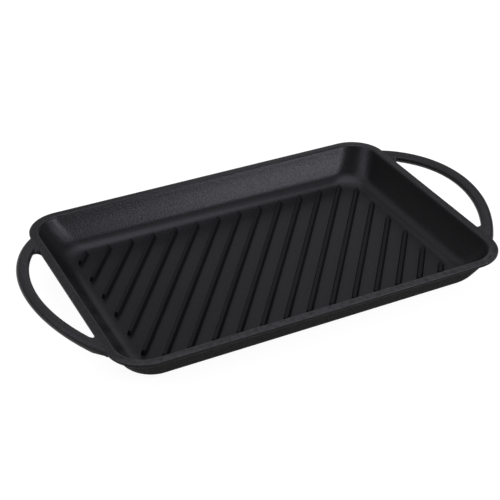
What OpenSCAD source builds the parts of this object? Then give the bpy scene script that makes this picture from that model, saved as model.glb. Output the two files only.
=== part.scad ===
// Cast-iron grill pan: a shallow rectangular tray with sloping walls, slanted ribs on its floor
// and a loop handle at each short end. One casting, drawn as the regions that it is made of.
// Units are millimetres. +Z is up, X runs from handle to handle, and the flat underside is at Z = 0.

/* [Tray] */
// Length of the rim, over its outer edges
rim_length = 330; // [260:1:400]
// Width of the rim, over its outer edges
rim_width = 224; // [170:1:280]
// Depth of the tray, from the top of the rim to the floor
tray_depth = 26; // [21:0.5:36]
// Thickness of the floor and of the walls
casting_t = 4; // [3:0.1:5]
// Slope of the walls, in degrees from upright
wall_slope = 30; // [15:1:38]
// Inside radius of the bend between wall and floor
bend_r = 16; // [8:0.5:20]
// Radius of the floor's corners, seen from above
floor_corner_r = 1.5; // [0.5:0.1:15]

/* [Rim] */
// Width of the flat top of the rim
rim_top_w = 6.4; // [6:0.1:10]
// Thickness of the rim's lip, which is half round at its outer edge
lip_t = 2.4; // [1.6:0.1:4]

/* [Ribs] */
// Direction of the ribs, in degrees from the long side
rib_angle = 53; // [35:1:70]
// Number of ribs, with one of them through the middle
rib_count = 19; // [11:2:25]
// Width of a rib where it meets the floor
rib_base_w = 5.4; // [4:0.1:8]
// Height of a rib above the floor
rib_h = 4; // [2.5:0.1:6]
// Radius of a rib's rounded top
rib_top_r = 1.8; // [0.8:0.1:2.2]
// Bare floor between the tips of the ribs and the bend of the walls
rib_margin = 1.8; // [0.5:0.1:10]
// Distance from an outermost rib to the corner of the ribbed field, square to the rib
corner_gap = 6; // [3:0.1:10]

/* [Handles] */
// Reach of a handle, from the rim's outer edge to the outer edge of the bar
handle_reach = 32; // [24:0.5:45]
// Distance between the two roots of a handle, as a share of the rim's width
handle_share = 0.68; // [0.5:0.01:0.72]
// Width of a handle's bar
bar_w = 10; // [8:0.1:14]
// Thickness of a handle's bar, which has half-round edges
bar_t = 6.5; // [5:0.1:7.5]
// Rise of a handle, in degrees from level
handle_rise = 15; // [0:1:25]
// Depth of the bar's middle below the top of the rim, where the handle leaves it
root_drop = 3.3; // [2.5:0.1:6]
// Radius of the rounded ends of a handle's finger hole
hole_end_r = 2.5; // [2:0.1:5]
// Thickness of the web that rounds those ends
web_t = 4.5; // [3:0.1:5]

/* [Hidden] */
$fn = 96;
iron = [0.16, 0.16, 0.17];

// Heights of the floor, the bend's centre, the lip's underside and the rim
floor_z = casting_t;
bend_z = floor_z + bend_r;
rim_z = floor_z + tray_depth;
lip_z = rim_z - lip_t;

// Run of a wall from the bend's centre out to a given height, at a given radius of the bend
function wall_run(radius, z) =
    radius * cos(wall_slope) + (z - bend_z + radius * sin(wall_slope)) * tan(wall_slope);
outer_bend_r = bend_r + casting_t;
rim_run = wall_run(bend_r, rim_z) + rim_top_w;

// Half sizes of the flat floor, and the places of the axes that its corners turn about
floor_x = rim_length / 2 - rim_run;
floor_y = rim_width / 2 - rim_run;
axis_x = floor_x - floor_corner_r;
axis_y = floor_y - floor_corner_r;

// The ribs lie on a pattern that runs through the middle of the floor
rib_end_x = floor_x - rib_margin - rib_base_w / 2;
rib_end_y = floor_y - rib_margin - rib_base_w / 2;
rib_side = [sin(rib_angle), -cos(rib_angle)];
rib_run = [cos(rib_angle), sin(rib_angle)];
middle_rib = (rib_count + 1) / 2;
rib_pitch = (rib_end_x * rib_side.x - rib_end_y * rib_side.y - corner_gap) / (middle_rib - 1);

// The bow of a handle is an arc through the two roots, in the plane of the handle
root_y = handle_share * rim_width / 2;
bow_rise = handle_reach / cos(handle_rise) - bar_w / 2;
bow_r = (pow(root_y, 2) + pow(bow_rise, 2)) / (2 * bow_rise);
bow_centre = [bow_rise - bow_r, 0];
root_depth = rim_top_w + casting_t;
bow_half_angle = acos((-root_depth - bow_centre.x) / bow_r);

// Centre of the rounding at an end of the finger hole, which touches the rim and the bow
hole_end_away = bow_r - bar_w / 2 - hole_end_r;
hole_end = [hole_end_r, sqrt(pow(hole_end_away, 2) - pow(hole_end_r - bow_centre.x, 2))];

RIBS = [for (i = [1 : rib_count]) str("rib_", i)];

// Section of a wall's outer or inner face with everything inside it, up to the given height
module filled_section(radius, top_z) {
    intersection() {
        translate([0, bend_z]) circle(radius);
        translate([0, bend_z - radius]) square(radius);
    }
    polygon([
        [0, bend_z],
        [radius * cos(wall_slope), bend_z - radius * sin(wall_slope)],
        [wall_run(radius, top_z), top_z],
        [0, top_z]
    ]);
}

// Section of the lip, from the bend's centre out to its half-round edge
module lip_section() {
    edge_r = lip_t / 2;
    translate([0, lip_z]) square([rim_run - edge_r, lip_t]);
    translate([rim_run - edge_r, lip_z + edge_r]) circle(edge_r);
}

// Section of the tray's outside, filled in
module outer_section() {
    filled_section(outer_bend_r, lip_z);
    lip_section();
}

// Section of the casting: bend, wall, rim and lip
module wall_section() {
    difference() {
        outer_section();
        filled_section(bend_r, rim_z);
    }
}

// A section run straight along Y, on the side of the tray that faces +X
module straight(distance, length) {
    translate([distance, 0]) rotate([90, 0, 0]) linear_extrude(length, center = true) children();
}

// A section turned about the axis of the corner between +X and +Y
module turned() {
    translate([axis_x, axis_y]) rotate_extrude(angle = 90) translate([floor_corner_r, 0]) children();
}

module long_wall() {
    color(iron) rotate(90) straight(floor_y, 2 * axis_x) wall_section();
}

module short_wall() {
    color(iron) straight(floor_x, 2 * axis_y) wall_section();
}

module corner() {
    color(iron) turned() wall_section();
}

module floor_plate() {
    color(iron) linear_extrude(casting_t) {
        square([2 * floor_x, 2 * axis_y], center = true);
        square([2 * axis_x, 2 * floor_y], center = true);
        for (x = [-axis_x, axis_x], y = [-axis_y, axis_y]) translate([x, y]) circle(floor_corner_r);
    }
}

module front_wall() { rotate(180) long_wall(); }
module back_wall() { long_wall(); }
module left_wall() { rotate(180) short_wall(); }
module right_wall() { short_wall(); }
module front_left_corner() { rotate(180) corner(); }
module front_right_corner() { mirror([0, 1, 0]) corner(); }
module back_left_corner() { mirror([1, 0, 0]) corner(); }
module back_right_corner() { corner(); }

// Section of a rib: sides that lean in to a round top
module rib_section() {
    top_z = rib_h - rib_top_r;
    side_length = norm([rib_base_w / 2, top_z]);
    lean = acos(rib_top_r / side_length) - atan2(top_z, rib_base_w / 2);
    touch = [rib_top_r * cos(lean), top_z + rib_top_r * sin(lean)];
    polygon([[-rib_base_w / 2, 0], [rib_base_w / 2, 0], touch, [-touch.x, touch.y]]);
    translate([0, top_z]) circle(rib_top_r);
}

module half_rib_section() {
    intersection() {
        rib_section();
        square([rib_base_w, rib_h]);
    }
}

// Distances along a rib from the foot of the pattern to its two ends
function rib_start(offset) = max(
    (-rib_end_x - offset * rib_side.x) / rib_run.x,
    (-rib_end_y - offset * rib_side.y) / rib_run.y
);
function rib_stop(offset) = min(
    (rib_end_x - offset * rib_side.x) / rib_run.x,
    (rib_end_y - offset * rib_side.y) / rib_run.y
);

// One rib, with ends turned from the same section
module rib(index) {
    offset = (index - middle_rib) * rib_pitch;
    start = rib_start(offset);
    stop = rib_stop(offset);
    color(iron)
    translate([offset * rib_side.x, offset * rib_side.y, floor_z]) rotate(rib_angle) {
        translate([start, 0]) rotate([90, 0, 90]) linear_extrude(stop - start) rib_section();
        for (end = [start, stop]) translate([end, 0]) rotate_extrude() half_rib_section();
    }
}

// Section of a handle's bar, with half-round edges
module bar_section() {
    edge_r = bar_t / 2;
    square([bar_w - bar_t, bar_t], center = true);
    for (side = [-1, 1]) translate([side * (bar_w / 2 - edge_r), 0]) circle(edge_r);
}

// The bow of a handle in its own plane, from the rim's outer edge at X = 0
module bow() {
    translate(bow_centre) rotate(-bow_half_angle) rotate_extrude(angle = 2 * bow_half_angle)
    translate([bow_r, 0]) bar_section();
}

// The web that fills one sharp end of the finger hole and leaves it rounded
module web() {
    linear_extrude(web_t, center = true) difference() {
        polygon([
            [-root_depth, hole_end.y],
            hole_end,
            bow_centre + bow_r / hole_end_away * (hole_end - bow_centre),
            [-root_depth, bow_r * sin(bow_half_angle)]
        ]);
        translate(hole_end) circle(hole_end_r);
    }
}

// The right handle: bow and webs, tilted up and cut off where they meet the tray
module right_handle() {
    color(iron)
    difference() {
        translate([rim_length / 2, 0, rim_z - root_drop]) rotate([0, -handle_rise, 0]) {
            bow();
            web();
            mirror([0, 1, 0]) web();
        }
        straight(floor_x, 2 * axis_y) outer_section();
        turned() outer_section();
        mirror([0, 1, 0]) turned() outer_section();
    }
}

module left_handle() { mirror([1, 0, 0]) right_handle(); }

floor_plate();
front_wall();
back_wall();
left_wall();
right_wall();
front_left_corner();
front_right_corner();
back_left_corner();
back_right_corner();
left_handle();
right_handle();
for (i = [1 : rib_count]) rib(i);
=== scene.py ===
# Cast-iron grill pan: a shallow rectangular tray with slanted ribs and a loop handle at each short end.
import math
from functools import partial

import bmesh
import bpy
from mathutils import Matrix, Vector


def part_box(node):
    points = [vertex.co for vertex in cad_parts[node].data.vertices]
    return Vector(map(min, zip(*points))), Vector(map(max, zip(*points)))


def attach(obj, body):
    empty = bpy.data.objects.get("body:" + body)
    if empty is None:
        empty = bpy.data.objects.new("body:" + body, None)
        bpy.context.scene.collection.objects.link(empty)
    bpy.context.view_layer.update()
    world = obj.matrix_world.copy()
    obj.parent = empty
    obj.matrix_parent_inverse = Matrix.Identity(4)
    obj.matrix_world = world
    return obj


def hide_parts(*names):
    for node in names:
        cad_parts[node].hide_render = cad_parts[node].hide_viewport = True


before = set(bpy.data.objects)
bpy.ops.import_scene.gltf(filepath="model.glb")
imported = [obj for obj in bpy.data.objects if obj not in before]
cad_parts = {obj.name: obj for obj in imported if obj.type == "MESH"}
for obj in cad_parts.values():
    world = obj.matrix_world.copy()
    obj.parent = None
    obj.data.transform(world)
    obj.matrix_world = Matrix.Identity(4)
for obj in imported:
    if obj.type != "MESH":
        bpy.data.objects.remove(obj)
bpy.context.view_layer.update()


# The tray is the body of the pan: a flat floor that bends up into sloping walls, and a flat rim with
# a thin rounded lip. It is iron poured in a sand mould, so no edge is sharp and the skin is grainy.

# Sizes are in metres, written as millimetres times MM; the frame gives the rim's outer edges and the heights
MM = 0.001
rim_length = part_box("right_wall")[1].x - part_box("left_wall")[0].x
rim_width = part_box("back_wall")[1].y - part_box("front_wall")[0].y
rim_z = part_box("front_wall")[1].z
floor_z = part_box("floor_plate")[1].z

# The underside is at height 0, so the floor's height is the thickness of the casting
casting_t = floor_z
bend_r = 16 * MM
bend_z = floor_z + bend_r
outer_bend_r = bend_r + casting_t
rim_top_w = 6.4 * MM
rim_inside_r = 2.3 * MM
lip_t = 3.2 * MM
lip_z = rim_z - lip_t
lip_root_r = 3 * MM
lip_under_r = 1.5 * MM
lip_top_r = 0.8 * MM

# Slopes are in degrees from upright; the inside of a wall is slightly hollow and leans more at its foot
wall_slope = 30
wall_foot_slope = 36
wall_hollow_r = 90 * MM

bend_steps = 14
wall_steps = 8
edge_steps = 6


def wall_run(radius, height):
    """How far a straight wall face has run out from the floor's edge at this height."""
    slope = math.radians(wall_slope)
    return radius * math.cos(slope) + (height - bend_z + radius * math.sin(slope)) * math.tan(slope)


rim_run = wall_run(bend_r, rim_z) + rim_top_w
floor_x = rim_length / 2 - rim_run
floor_y = rim_width / 2 - rim_run


def arc(centre, radius, start, stop, steps):
    """Points of a round edge in the wall's section, as pairs of run and height."""
    angles = [math.radians(start + (stop - start) * i / steps) for i in range(steps + 1)]
    return [(centre[0] + radius * math.cos(a), centre[1] + radius * math.sin(a)) for a in angles]


def beside_wall(wall_r, distance, height):
    """Centre of a rounding of that radius, at that distance outside a wall face."""
    return wall_run(wall_r, height) + distance / math.cos(math.radians(wall_slope)), height


def outside_section():
    """The outside from the underside up the wall to the root of the lip."""
    lip_root = beside_wall(outer_bend_r, lip_root_r, lip_z - lip_root_r)
    return (
        arc((0, bend_z), outer_bend_r, -90, -wall_slope, bend_steps)
        + arc(lip_root, lip_root_r, 180 - wall_slope, 90, edge_steps)
    )


def lip_side():
    """The lip from its underside up its outer edge."""
    under = arc((rim_run - lip_under_r, lip_z + lip_under_r), lip_under_r, -90, 0, edge_steps)
    return under + [(rim_run, rim_z - lip_top_r)]


def lip_top():
    """The small rounding from the lip's edge to the flat top of the rim."""
    return arc((rim_run - lip_top_r, rim_z - lip_top_r), lip_top_r, 0, 90, edge_steps)[1:]


def inside_section():
    """The inside from the rim's top down the hollow wall to the floor."""
    foot = math.radians(wall_foot_slope)
    away = wall_hollow_r - bend_r
    hollow = (-away * math.cos(foot), bend_z + away * math.sin(foot))
    edge_away = wall_hollow_r + rim_inside_r
    edge_lean = math.asin((hollow[1] - rim_z + rim_inside_r) / edge_away)
    edge = (hollow[0] + edge_away * math.cos(edge_lean), rim_z - rim_inside_r)
    edge_slope = math.degrees(edge_lean)
    return (
        arc(edge, rim_inside_r, 90, 180 - edge_slope, edge_steps)
        + arc(hollow, wall_hollow_r, -edge_slope, -wall_foot_slope, wall_steps)[1:-1]
        + arc((0, bend_z), bend_r, -wall_foot_slope, -90, bend_steps)
    )


# Radius of the tray's corners, seen from above, at the floor and at the rim
outside_corner_r = (16.5 * MM, 29 * MM)
inside_corner_r = (24 * MM, 22.5 * MM)
corner_steps = 20


def rim_ring(mesh, run, height, corner_r):
    """One ring of points round the tray, at that run from the floor's edge."""
    floor_r, rim_r = corner_r
    radius = floor_r + (rim_r - floor_r) * run / rim_run
    ring = []
    for quarter in range(4):
        centre_x = (floor_x + run - radius) * (1 if quarter in (0, 3) else -1)
        centre_y = (floor_y + run - radius) * (1 if quarter in (0, 1) else -1)
        for step in range(corner_steps + 1):
            angle = math.radians(90) * (quarter + step / corner_steps)
            place = (centre_x + radius * math.cos(angle), centre_y + radius * math.sin(angle), height)
            ring.append(mesh.verts.new(place))
    return ring


def rings_along(mesh, section, corner_r):
    """A ring round the tray for each point of a section."""
    return [rim_ring(mesh, run, height, corner_r) for run, height in section]


def join_rings(mesh, rings):
    """Faces between each ring and the next."""
    faces = []
    for low, high in zip(rings, rings[1:]):
        for i in range(len(low)):
            j = (i + 1) % len(low)
            faces.append(mesh.faces.new((low[i], low[j], high[j], high[i])))
    return faces


def finished_piece(name, mesh, *materials):
    """A smooth-shaded object from the mesh, riding with the pan."""
    data = bpy.data.meshes.new(name)
    mesh.to_mesh(data)
    mesh.free()
    data.shade_smooth()
    for material in materials:
        data.materials.append(material)
    piece = bpy.data.objects.new(name, data)
    bpy.context.scene.collection.objects.link(piece)
    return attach(piece, "root")


def feed(tree, socket, value):
    """Links an input to another node's output, or gives it a fixed value."""
    if isinstance(value, bpy.types.NodeSocket):
        tree.links.new(value, socket)
    else:
        socket.default_value = value


def calculated(tree, operation, *values):
    """The result of a Math node."""
    node = tree.nodes.new("ShaderNodeMath")
    node.operation = operation
    for socket, value in zip(node.inputs, values):
        feed(tree, socket, value)
    return node.outputs[0]


def spread(tree, value, source, target):
    """A value of the source range, spread over the target range."""
    node = tree.nodes.new("ShaderNodeMapRange")
    node.inputs["From Min"].default_value, node.inputs["From Max"].default_value = source
    node.inputs["To Min"].default_value, node.inputs["To Max"].default_value = target
    tree.links.new(value, node.inputs["Value"])
    return node.outputs["Result"]


def noise(tree, place, scale, detail, roughness):
    """Noise over a piece, with its scale in cells per metre."""
    texture = tree.nodes.new("ShaderNodeTexNoise")
    feed(tree, texture.inputs["Scale"], scale)
    texture.inputs["Detail"].default_value = detail
    texture.inputs["Roughness"].default_value = roughness
    tree.links.new(place, texture.inputs["Vector"])
    return texture.outputs["Fac"]


# Shader group shared by all the iron: the sandy skin of the casting
lump_scale = 420
stain_scale = 18
lump_share = 0.3
stain_share = 0.5


def sand_skin():
    """Fine grain, soft lumps and slow stains in the iron's skin, read from Object coordinates."""
    group = bpy.data.node_groups.new("sand_skin", "ShaderNodeTree")
    group.interface.new_socket("Grain scale", in_out="INPUT", socket_type="NodeSocketFloat")
    for name in ("Height", "Tone", "Gloss"):
        group.interface.new_socket(name, in_out="OUTPUT", socket_type="NodeSocketFloat")
    inside = group.nodes.new("NodeGroupInput")
    outside = group.nodes.new("NodeGroupOutput")
    place = group.nodes.new("ShaderNodeTexCoord").outputs["Object"]
    grain = noise(group, place, inside.outputs["Grain scale"], detail=3, roughness=0.6)
    lumps = noise(group, place, lump_scale, detail=2, roughness=0.5)
    stains = noise(group, place, stain_scale, detail=4, roughness=0.55)

    def mixed(first, second, share):
        node = group.nodes.new("ShaderNodeMix")
        node.inputs["Factor"].default_value = share
        group.links.new(first, node.inputs["A"])
        group.links.new(second, node.inputs["B"])
        return node.outputs["Result"]

    group.links.new(mixed(grain, lumps, lump_share), outside.inputs["Height"])
    group.links.new(mixed(grain, stains, stain_share), outside.inputs["Tone"])
    group.links.new(lumps, outside.inputs["Gloss"])
    return group


skin_group = sand_skin()

# Most of the skin's values lie in this range
skin_range = (0.3, 0.7)


def iron(name, dark, light, shine, gloss, grain_scale, grain_depth):
    """Black cast iron: dark and light are its colours, gloss the range of its roughness."""
    material = bpy.data.materials.new(name)
    material.use_nodes = True
    nodes, links = material.node_tree.nodes, material.node_tree.links
    shader = nodes["Principled BSDF"]
    shader.inputs["Specular IOR Level"].default_value = shine
    skin = nodes.new("ShaderNodeGroup")
    skin.node_tree = skin_group
    skin.inputs["Grain scale"].default_value = grain_scale
    colour = nodes.new("ShaderNodeValToRGB")
    for stop, position, tone in zip(colour.color_ramp.elements, skin_range, (dark, light)):
        stop.position = position
        stop.color = (*tone, 1)
    links.new(skin.outputs["Tone"], colour.inputs["Fac"])
    links.new(colour.outputs["Color"], shader.inputs["Base Color"])
    roughness = spread(material.node_tree, skin.outputs["Gloss"], skin_range, gloss)
    links.new(roughness, shader.inputs["Roughness"])
    bump = nodes.new("ShaderNodeBump")
    bump.inputs["Distance"].default_value = grain_depth
    links.new(skin.outputs["Height"], bump.inputs["Height"])
    links.new(bump.outputs["Normal"], shader.inputs["Normal"])
    return material


# The rim's grey is partly real wear and partly a painted highlight that makes the rim's top lighter, most of
# all at the front. It starts and is full at these depths below the rim's top and these distances from the
# front edge
worn_and_sheen_grey = (0.025, 0.024, 0.0245)
worn_and_sheen_depth = (0.9 * MM, 0.1 * MM)
worn_and_sheen_front = (25 * MM, 8 * MM)

# The least shares of the wear and painted highlight: away from the front, and between the patches that a
# noise makes
worn_and_sheen_elsewhere = 0.35
patch_least = 0.25
patch_scale = 260
patch_range = (0.35, 0.6)

# The floor keeps this share of its grain, and the wall has all of it from this height above the floor
floor_grain = 0.16
full_grain_height = 9 * MM


def wear_and_sheen(material):
    """Wear and painted highlight on the tray: grey patches on the rim, partly wear where tools rub it and
    partly a painted highlight that lightens the rim's top, most of all at the front, and a floor with its
    grain worn down."""
    tree = material.node_tree
    place = tree.nodes.new("ShaderNodeTexCoord").outputs["Object"]
    axes = tree.nodes.new("ShaderNodeSeparateXYZ")
    tree.links.new(place, axes.inputs[0])
    depths = [rim_z - depth for depth in worn_and_sheen_depth]
    top_wear_and_sheen = spread(tree, axes.outputs["Z"], depths, (0, 1))
    patches = noise(tree, place, patch_scale, detail=3, roughness=0.5)
    rubbed_and_sheen = spread(tree, patches, patch_range, (patch_least, 1))
    distances = [distance - rim_width / 2 for distance in worn_and_sheen_front]
    front_wear_and_sheen = spread(tree, axes.outputs["Y"], distances, (worn_and_sheen_elsewhere, 1))
    share = calculated(tree, "MULTIPLY", top_wear_and_sheen, rubbed_and_sheen)
    wear_and_sheen_share = calculated(tree, "MULTIPLY", share, front_wear_and_sheen)
    # Wear and painted highlight: the rim's top is mixed towards a lighter grey, most at the front
    colour = tree.nodes.new("ShaderNodeMix")
    colour.data_type = "RGBA"
    colour.inputs["B"].default_value = (*worn_and_sheen_grey, 1)
    tree.links.new(wear_and_sheen_share, colour.inputs["Factor"])
    base = tree.nodes["Principled BSDF"].inputs["Base Color"]
    tree.links.new(base.links[0].from_socket, colour.inputs["A"])
    tree.links.new(colour.outputs["Result"], base)
    heights = (floor_z, floor_z + full_grain_height)
    grain_left = spread(tree, axes.outputs["Z"], heights, (floor_grain, 1))
    bumps = tree.nodes["Bump"].inputs["Height"]
    tree.links.new(calculated(tree, "MULTIPLY", bumps.links[0].from_socket, grain_left), bumps)


# The inside has a slight shine, the outside is dull and the lip is between the two
shiny_black = (0.0045, 0.0045, 0.0048)
shiny_grey = (0.0075, 0.0075, 0.008)
dull_black = (0.005, 0.005, 0.0053)
dull_grey = (0.008, 0.008, 0.0085)

tray_iron = iron(
    "tray_iron", shiny_black, shiny_grey,
    shine=0.2, gloss=(0.27, 0.33), grain_scale=700, grain_depth=0.2 * MM,
)
# Grey wear on the rim, which is also a painted highlight that lightens its top
wear_and_sheen(tray_iron)
outer_iron = iron(
    "outer_iron", dull_black, dull_grey,
    shine=0.017, gloss=(0.6, 0.75), grain_scale=1200, grain_depth=0.3 * MM,
)
lip_iron = iron(
    "lip_iron", dull_black, dull_grey,
    shine=0.07, gloss=(0.5, 0.65), grain_scale=900, grain_depth=0.2 * MM,
)

tray_mesh = bmesh.new()
outside_rings = rings_along(tray_mesh, outside_section(), outside_corner_r)
lip_rings = rings_along(tray_mesh, lip_side(), outside_corner_r)
top_rings = rings_along(tray_mesh, lip_top(), outside_corner_r)
inside_rings = rings_along(tray_mesh, inside_section(), inside_corner_r)
outside_faces = join_rings(tray_mesh, outside_rings)
lip_faces = join_rings(tray_mesh, outside_rings[-1:] + lip_rings)
join_rings(tray_mesh, lip_rings[-1:] + top_rings + inside_rings)
outside_faces.append(tray_mesh.faces.new(reversed(outside_rings[0])))
tray_mesh.faces.new(inside_rings[-1])
for index, faces in enumerate((outside_faces, lip_faces), start=1):
    for face in faces:
        face.material_index = index
tray = finished_piece("tray", tray_mesh, tray_iron, outer_iron, lip_iron)
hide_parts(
    "floor_plate", "front_wall", "back_wall", "left_wall", "right_wall",
    "front_left_corner", "front_right_corner", "back_left_corner", "back_right_corner",
)


# The ribs stand on the floor in slanted parallel rows, and mark the food that lies on them. They are
# iron cast in one with the floor: low ridges with leaning sides, round ends, and a narrow flat top
# with rounded shoulders.

rib_count = sum(name.startswith("rib_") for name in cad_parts)
rib_angle = math.radians(53)
rib_height = 4 * MM
rib_base_r = 2.55 * MM
rib_flat_r = 1.05 * MM
rib_shoulder_r = 0.4 * MM
rib_foot_r = 0.6 * MM
rib_sunk = 0.05 * MM

# The floor is bare between the ends of the ribs and the bend, and in the two corners past the outermost ribs
rib_margin = 1.8 * MM
corner_gap = 6 * MM
rib_end_x = floor_x - rib_margin - rib_base_r
rib_end_y = floor_y - rib_margin - rib_base_r

# The mesh of a short round rib: a little disc on top, and rings of points from there down to its foot
rib_disc_r = 0.2 * MM
rib_round_steps = 30
rib_side_steps = 22

rib_grey = (0.0085, 0.0085, 0.009)
rib_iron = iron(
    "rib_iron", dull_black, rib_grey,
    shine=0.07, gloss=(0.42, 0.54), grain_scale=800, grain_depth=0.2 * MM,
)


def vector(tree, x, y, z):
    """A vector from three numbers or outputs."""
    node = tree.nodes.new("ShaderNodeCombineXYZ")
    for socket, value in zip(node.inputs, (x, y, z)):
        feed(tree, socket, value)
    return node.outputs[0]


def stored(tree, geometry, name, value):
    """The geometry with a number kept on each of its points."""
    node = tree.nodes.new("GeometryNodeStoreNamedAttribute")
    node.data_type = "FLOAT"
    node.domain = "POINT"
    node.inputs["Name"].default_value = name
    tree.links.new(geometry, node.inputs["Geometry"])
    tree.links.new(value, node.inputs["Value"])
    return node.outputs["Geometry"]


def recalled(tree, name):
    """The number that was kept on each point under that name."""
    node = tree.nodes.new("GeometryNodeInputNamedAttribute")
    node.data_type = "FLOAT"
    node.inputs["Name"].default_value = name
    return node.outputs["Attribute"]


def rib_rows(tree, given, along_x, along_y):
    """A point in the middle of each rib, which keeps half the rib's length. The outermost ribs stay
    the corner gap away from the corners of the ribbed field, and the rest are spaced evenly between."""
    calc = partial(calculated, tree)
    across_x = along_y
    across_y = calc("MULTIPLY", along_x, -1)
    half_count = calc("DIVIDE", calc("SUBTRACT", given["Rib count"], 1), 2)
    reach_x = calc("MULTIPLY", given["End X"], across_x)
    reach_y = calc("MULTIPLY", given["End Y"], along_x)
    field = calc("SUBTRACT", calc("ADD", reach_x, reach_y), given["Corner gap"])
    pitch = calc("DIVIDE", field, half_count)
    index = tree.nodes.new("GeometryNodeInputIndex").outputs[0]
    offset = calc("MULTIPLY", calc("SUBTRACT", index, half_count), pitch)
    aside_x = calc("MULTIPLY", offset, across_x)
    aside_y = calc("MULTIPLY", offset, across_y)

    def limit(end, aside, along, sign):
        signed = calc("MULTIPLY", end, sign)
        return calc("DIVIDE", calc("SUBTRACT", signed, aside), along)

    start = calc(
        "MAXIMUM",
        limit(given["End X"], aside_x, along_x, -1),
        limit(given["End Y"], aside_y, along_y, -1),
    )
    stop = calc(
        "MINIMUM",
        limit(given["End X"], aside_x, along_x, 1),
        limit(given["End Y"], aside_y, along_y, 1),
    )
    middle = calc("DIVIDE", calc("ADD", start, stop), 2)
    half = calc("DIVIDE", calc("SUBTRACT", stop, start), 2)
    place = vector(
        tree,
        calc("MULTIPLY_ADD", middle, along_x, aside_x),
        calc("MULTIPLY_ADD", middle, along_y, aside_y),
        given["Floor height"],
    )
    points = tree.nodes.new("GeometryNodePoints")
    tree.links.new(given["Rib count"], points.inputs["Count"])
    tree.links.new(place, points.inputs["Position"])
    return stored(tree, points.outputs[0], "half_length", half)


def rib_section(tree, given, distance):
    """Height of a rib's surface over the floor, at that distance from the rib's middle line: a flat
    top, a round shoulder, a straight leaning side and a smooth run into the floor."""
    calc = partial(calculated, tree)
    shoulder_r = given["Shoulder radius"]
    past_flat = calc("MAXIMUM", calc("SUBTRACT", distance, given["Flat top"]), 0)
    side_run = calc("SUBTRACT", given["Base radius"], given["Flat top"])
    shoulder_z = calc("SUBTRACT", given["Height"], shoulder_r)
    slant = calc("SQRT", calc("MULTIPLY_ADD", side_run, side_run, calc("MULTIPLY", shoulder_z, shoulder_z)))
    lean = calc(
        "SUBTRACT",
        calc("ARCCOSINE", calc("DIVIDE", shoulder_r, slant)),
        calc("ARCTAN2", shoulder_z, side_run),
    )
    touch = calc("MULTIPLY", shoulder_r, calc("COSINE", lean))
    on_shoulder = calc("MINIMUM", past_flat, touch)
    rise = calc("SQRT", calc(
        "SUBTRACT",
        calc("MULTIPLY", shoulder_r, shoulder_r),
        calc("MULTIPLY", on_shoulder, on_shoulder),
    ))
    past_shoulder = calc("SUBTRACT", past_flat, on_shoulder)
    drop = calc("DIVIDE", past_shoulder, calc("TANGENT", lean))
    side = calc("SUBTRACT", calc("ADD", shoulder_z, rise), drop)
    sunk = calc("MULTIPLY", given["Sunk"], -1)
    return calc("SMOOTH_MAX", side, sunk, given["Foot radius"])


def rib_end(tree, given):
    """A short round rib: a cone's rings of points, lifted to the rib's section."""
    calc = partial(calculated, tree)
    cone = tree.nodes.new("GeometryNodeMeshCone")
    cone.inputs["Vertices"].default_value = rib_round_steps
    cone.inputs["Side Segments"].default_value = rib_side_steps
    cone.inputs["Radius Top"].default_value = rib_disc_r
    tree.links.new(calc("ADD", given["Base radius"], given["Foot radius"]), cone.inputs["Radius Bottom"])
    tree.links.new(given["Height"], cone.inputs["Depth"])
    position = tree.nodes.new("GeometryNodeInputPosition").outputs[0]
    axes = tree.nodes.new("ShaderNodeSeparateXYZ")
    tree.links.new(position, axes.inputs[0])
    x = axes.outputs["X"]
    y = axes.outputs["Y"]
    distance = calc("SQRT", calc("MULTIPLY_ADD", x, x, calc("MULTIPLY", y, y)))
    shaped = tree.nodes.new("GeometryNodeSetPosition")
    tree.links.new(cone.outputs["Mesh"], shaped.inputs["Geometry"])
    tree.links.new(vector(tree, x, y, rib_section(tree, given, distance)), shaped.inputs["Position"])
    return stored(tree, shaped.outputs[0], "end_side", calc("SIGN", x))


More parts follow.
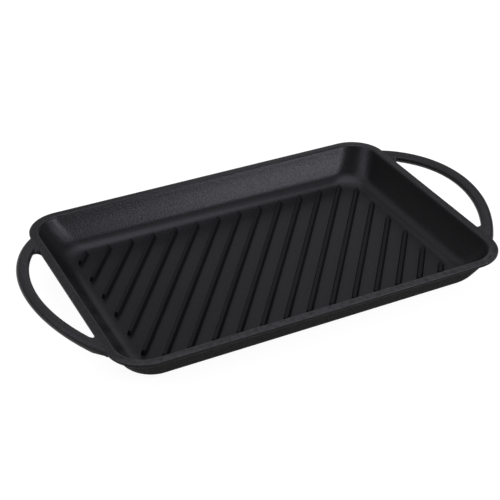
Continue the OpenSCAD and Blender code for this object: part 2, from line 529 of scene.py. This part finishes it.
def rib_pattern():
    """Geometry Nodes tree that copies a short round rib to each row and draws it out to its length."""
    tree = bpy.data.node_groups.new("rib_pattern", "GeometryNodeTree")
    tree.is_modifier = True
    tree.interface.new_socket("Geometry", in_out="OUTPUT", socket_type="NodeSocketGeometry")
    sizes = {
        "Rib count": rib_count,
        "Rib angle": rib_angle,
        "Base radius": rib_base_r,
        "Height": rib_height,
        "Flat top": rib_flat_r,
        "Shoulder radius": rib_shoulder_r,
        "Foot radius": rib_foot_r,
        "End X": rib_end_x,
        "End Y": rib_end_y,
        "Corner gap": corner_gap,
        "Floor height": floor_z,
        "Sunk": rib_sunk,
    }
    values = {}
    for name, value in sizes.items():
        kind = "NodeSocketInt" if isinstance(value, int) else "NodeSocketFloat"
        socket = tree.interface.new_socket(name, in_out="INPUT", socket_type=kind)
        values[socket.identifier] = value
    socket = tree.interface.new_socket("Material", in_out="INPUT", socket_type="NodeSocketMaterial")
    values[socket.identifier] = rib_iron

    calc = partial(calculated, tree)
    given = tree.nodes.new("NodeGroupInput").outputs
    along_x = calc("COSINE", given["Rib angle"])
    along_y = calc("SINE", given["Rib angle"])
    copies = tree.nodes.new("GeometryNodeInstanceOnPoints")
    tree.links.new(rib_rows(tree, given, along_x, along_y), copies.inputs["Points"])
    tree.links.new(rib_end(tree, given), copies.inputs["Instance"])
    turn = tree.nodes.new("FunctionNodeEulerToRotation")
    tree.links.new(vector(tree, 0, 0, given["Rib angle"]), turn.inputs[0])
    tree.links.new(turn.outputs[0], copies.inputs["Rotation"])
    real = tree.nodes.new("GeometryNodeRealizeInstances")
    tree.links.new(copies.outputs[0], real.inputs[0])
    drawn = calc("MULTIPLY", recalled(tree, "end_side"), recalled(tree, "half_length"))
    shift = vector(tree, calc("MULTIPLY", drawn, along_x), calc("MULTIPLY", drawn, along_y), 0)
    drawn_out = tree.nodes.new("GeometryNodeSetPosition")
    tree.links.new(real.outputs[0], drawn_out.inputs["Geometry"])
    tree.links.new(shift, drawn_out.inputs["Offset"])
    coated = tree.nodes.new("GeometryNodeSetMaterial")
    tree.links.new(drawn_out.outputs[0], coated.inputs["Geometry"])
    tree.links.new(given["Material"], coated.inputs["Material"])
    tree.links.new(coated.outputs[0], tree.nodes.new("NodeGroupOutput").inputs[0])
    return tree, values


def laid_out(name, tree, values):
    """The plain mesh that a Geometry Nodes tree makes from these inputs."""
    maker = bpy.data.objects.new(name + "_maker", bpy.data.meshes.new(name + "_seed"))
    bpy.context.scene.collection.objects.link(maker)
    modifier = maker.modifiers.new(name, "NODES")
    modifier.node_group = tree
    for identifier, value in values.items():
        modifier[identifier] = value
    seen = maker.evaluated_get(bpy.context.evaluated_depsgraph_get())
    data = bpy.data.meshes.new_from_object(seen)
    data.name = name
    maker.modifiers.clear()
    bpy.data.objects.remove(maker)
    return data


rib_data = laid_out("ribs", *rib_pattern())
rib_data.shade_smooth()
ribs = bpy.data.objects.new("ribs", rib_data)
bpy.context.scene.collection.objects.link(ribs)
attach(ribs, "root")
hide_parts(*[f"rib_{number}" for number in range(1, rib_count + 1)])


# A loop handle at each short end is iron cast on with the tray: a flat bar with round edges, bowed
# out from two thinner roots at the lip and tilted up, so that fingers close round it.

# The bar's width and thickness, and how far the rounding of an edge reaches in across the bar
bar_w = 10 * MM
bar_t = 6.5 * MM
bar_edge = 3.7 * MM

# The roots: depth of the bar's middle below the rim's top, thickness at the rim, the distance out at which
# the bar is full, and the roundings outside the bar and in the finger hole
root_drop = 3.3 * MM
root_t = 3.8 * MM
root_taper = 6.5 * MM
root_round_r = 2 * MM
hole_end_r = 3 * MM

# The bow is an arc along the middle of the bar, tilted up from the rim's edge; bow_half is half its chord
handle_rise = math.radians(15)
bow_reach = 27.8 * MM
bow_half = 77.7 * MM
bow_r = (bow_half ** 2 + bow_reach ** 2) / (2 * bow_reach)
bow_centre = bow_reach - bow_r

bow_steps = 40
turn_steps = 10
half_bow_steps = 60
bar_edge_steps = 12

handle_iron = iron(
    "handle_iron", shiny_black, shiny_grey,
    shine=0.25, gloss=(0.32, 0.46), grain_scale=700, grain_depth=0.2 * MM,
)


def bow_edge(radius, end_r, side):
    """One edge of the bow from its middle to the rim, as pairs of distance out and along; the edge
    meets the rim in a rounding, inside the finger hole (side -1) or beside the bar (side 1)."""
    away = radius + side * end_r
    end_along = math.sqrt(away ** 2 - (end_r - bow_centre) ** 2)
    meet = math.atan2(end_along, end_r - bow_centre)
    angles = [meet * i / bow_steps for i in range(bow_steps + 1)]
    edge = [(bow_centre + radius * math.cos(a), radius * math.sin(a)) for a in angles]
    first = meet if side < 0 else meet + math.pi
    for i in range(1, turn_steps + 1):
        angle = first + (math.pi - first) * i / turn_steps
        edge.append((end_r + end_r * math.cos(angle), end_along + end_r * math.sin(angle)))
    return edge


def evenly(points, count):
    """The same line as points at equal distances along it."""
    lengths = [0.0]
    for here, there in zip(points, points[1:]):
        lengths.append(lengths[-1] + math.dist(here, there))
    spaced = []
    first = 0
    for i in range(count + 1):
        wanted = lengths[-1] * i / count
        while first < len(points) - 2 and lengths[first + 1] < wanted:
            first += 1
        share = (wanted - lengths[first]) / (lengths[first + 1] - lengths[first])
        spaced.append(tuple(p + (q - p) * share for p, q in zip(points[first], points[first + 1])))
    return spaced


def bar_section(inner, outer):
    """Points round the bar between its two edges: out, along, and height over the handle's plane.
    The underside rises near the rim, where the bar is thinner."""
    inner, outer = Vector((*inner, 0)), Vector((*outer, 0))
    across = (outer - inner).normalized()
    thick = root_t + (bar_t - root_t) * min(1, outer.x / root_taper)
    ring = []
    for edge, side in ((outer, 1), (inner, -1)):
        for i in range(bar_edge_steps + 1):
            angle = side * (math.pi * i / bar_edge_steps - math.pi / 2)
            run = bar_edge * (math.cos(angle) - 1)
            high = bar_t / 2 if math.sin(angle) > 0 else thick - bar_t / 2
            ring.append(edge + side * run * across + Vector((0, 0, high * math.sin(angle))))
    return ring


def tilted(point, side):
    """From the handle's own plane to the pan, at the right end (1) or the left (-1)."""
    out = math.cos(handle_rise) * point.x - math.sin(handle_rise) * point.z
    up = math.sin(handle_rise) * point.x + math.cos(handle_rise) * point.z
    return Vector((side * (floor_x + rim_run + out), point.y, rim_z - root_drop + up))


def in_wall(place, side):
    """The same height in the middle of the wall's thickness, where the root ends."""
    return Vector((side * (floor_x + wall_run(bend_r + casting_t / 2, place.z)), place.y, place.z))


def handle(name, side):
    """One handle: half a bow from the middle to a root, and the same on the other half."""
    hole_edge = evenly(bow_edge(bow_r - bar_w / 2, hole_end_r, -1), half_bow_steps)
    outer_edge = evenly(bow_edge(bow_r + bar_w / 2, root_round_r, 1), half_bow_steps)
    half_bow = list(zip(hole_edge, outer_edge))
    other_half = [[(out, -along) for out, along in edges] for edges in reversed(half_bow[1:])]
    places = [[tilted(p, side) for p in bar_section(*edges)] for edges in other_half + half_bow]
    places.insert(0, [in_wall(p, side) for p in places[0]])
    places.append([in_wall(p, side) for p in places[-1]])
    mesh = bmesh.new()
    rings = [[mesh.verts.new(p) for p in ring] for ring in places]
    join_rings(mesh, rings)
    mesh.faces.new(rings[0])
    mesh.faces.new(rings[-1])
    bmesh.ops.recalc_face_normals(mesh, faces=mesh.faces)
    return finished_piece(name, mesh, handle_iron)


for side, name in ((1, "right_handle"), (-1, "left_handle")):
    bow = handle(name + "_bow", side)
    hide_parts(name)


# The studio is no part of the pan: a pale floor that glows, so that it stays white, soft lights all
# round it and overhead, and a camera in the photograph's place.

white = (1, 1, 1, 1)
floor_grey = (0.15, 0.15, 0.15, 1)
floor_roughness = 0.9
floor_glow = 0.93

# Half the floor's width, in metres, and how far the floor lies below the underside
floor_half = 6
floor_drop = 0.2 * MM
floor_signs = ((-1, -1), (1, -1), (1, 1), (-1, 1))
floor_corners = [(x * floor_half, y * floor_half, -floor_drop) for x, y in floor_signs]
floor_data = bpy.data.meshes.new("studio_floor")
floor_data.from_pydata(floor_corners, [], [(0, 1, 2, 3)])
floor_white = bpy.data.materials.new("floor_white")
floor_white.use_nodes = True
floor_shader = floor_white.node_tree.nodes["Principled BSDF"]
floor_shader.inputs["Base Color"].default_value = floor_grey
floor_shader.inputs["Roughness"].default_value = floor_roughness
floor_shader.inputs["Emission Color"].default_value = white
floor_shader.inputs["Emission Strength"].default_value = floor_glow
floor_data.materials.append(floor_white)
studio_floor = bpy.data.objects.new("studio_floor", floor_data)
bpy.context.scene.collection.objects.link(studio_floor)

# Distances and sizes of the lights are in metres, and their powers in watts
light_distance = 1.6
light_colour = (1.0, 0.97, 1.12)
small_box = 0.45
medium_box = 0.7
large_box = 0.9


def softbox(name, turn, height, size, power):
    """A soft light that faces the pan, turned round from the front and raised, both in degrees."""
    data = bpy.data.lights.new(name, "AREA")
    data.size = size
    data.energy = power
    data.color = light_colour
    lamp = bpy.data.objects.new(name, data)
    bpy.context.scene.collection.objects.link(lamp)
    turn, height = math.radians(turn), math.radians(height)
    level = math.cos(height)
    toward = Vector((level * math.sin(turn), -level * math.cos(turn), math.sin(height)))
    lamp.location = toward * light_distance
    lamp.rotation_euler = (-toward).to_track_quat("-Z", "Y").to_euler()


softbox("front_high", turn=32, height=34, size=small_box, power=4.6)
softbox("front_middle", turn=32, height=20, size=small_box, power=4.3)
softbox("right_middle", turn=60, height=34, size=small_box, power=2.8)
softbox("back_high", turn=140, height=54, size=medium_box, power=1.1)
softbox("back_low", turn=150, height=20, size=medium_box, power=0.44)
softbox("back_left", turn=192, height=42, size=medium_box, power=0.9)
softbox("top_front", turn=60, height=74, size=large_box, power=2.0)
softbox("top_back", turn=150, height=74, size=large_box, power=5.1)
softbox("left_high", turn=240, height=58, size=large_box, power=3.6)
softbox("left_low", turn=270, height=38, size=large_box, power=4.9)

# The room gives a weak even light, but the camera sees it as white
room_light = 0.28

world = bpy.data.worlds.new("studio")
world.use_nodes = True
backdrop = world.node_tree.nodes["Background"]
backdrop.inputs["Color"].default_value = white
camera_ray = world.node_tree.nodes.new("ShaderNodeLightPath").outputs["Is Camera Ray"]
room_strength = spread(world.node_tree, camera_ray, (0, 1), (room_light, 1))
world.node_tree.links.new(room_strength, backdrop.inputs["Strength"])
bpy.context.scene.world = world
bpy.context.scene.view_settings.view_transform = "Standard"

# Lens and sensor are in millimetres; the camera looks down and to the right, both in degrees
camera_sensor = 36
camera_lens = 87.23
camera_place = (-376.65 * MM, -729.07 * MM, 550.43 * MM)
camera_down = 32.97
camera_right = 26.70

camera_data = bpy.data.cameras.new("camera")
camera_data.sensor_width = camera_sensor
camera_data.lens = camera_lens
camera = bpy.data.objects.new("camera", camera_data)
bpy.context.scene.collection.objects.link(camera)
camera.location = camera_place
camera.rotation_euler = (math.radians(90 - camera_down), 0, math.radians(-camera_right))
bpy.context.scene.camera = camera
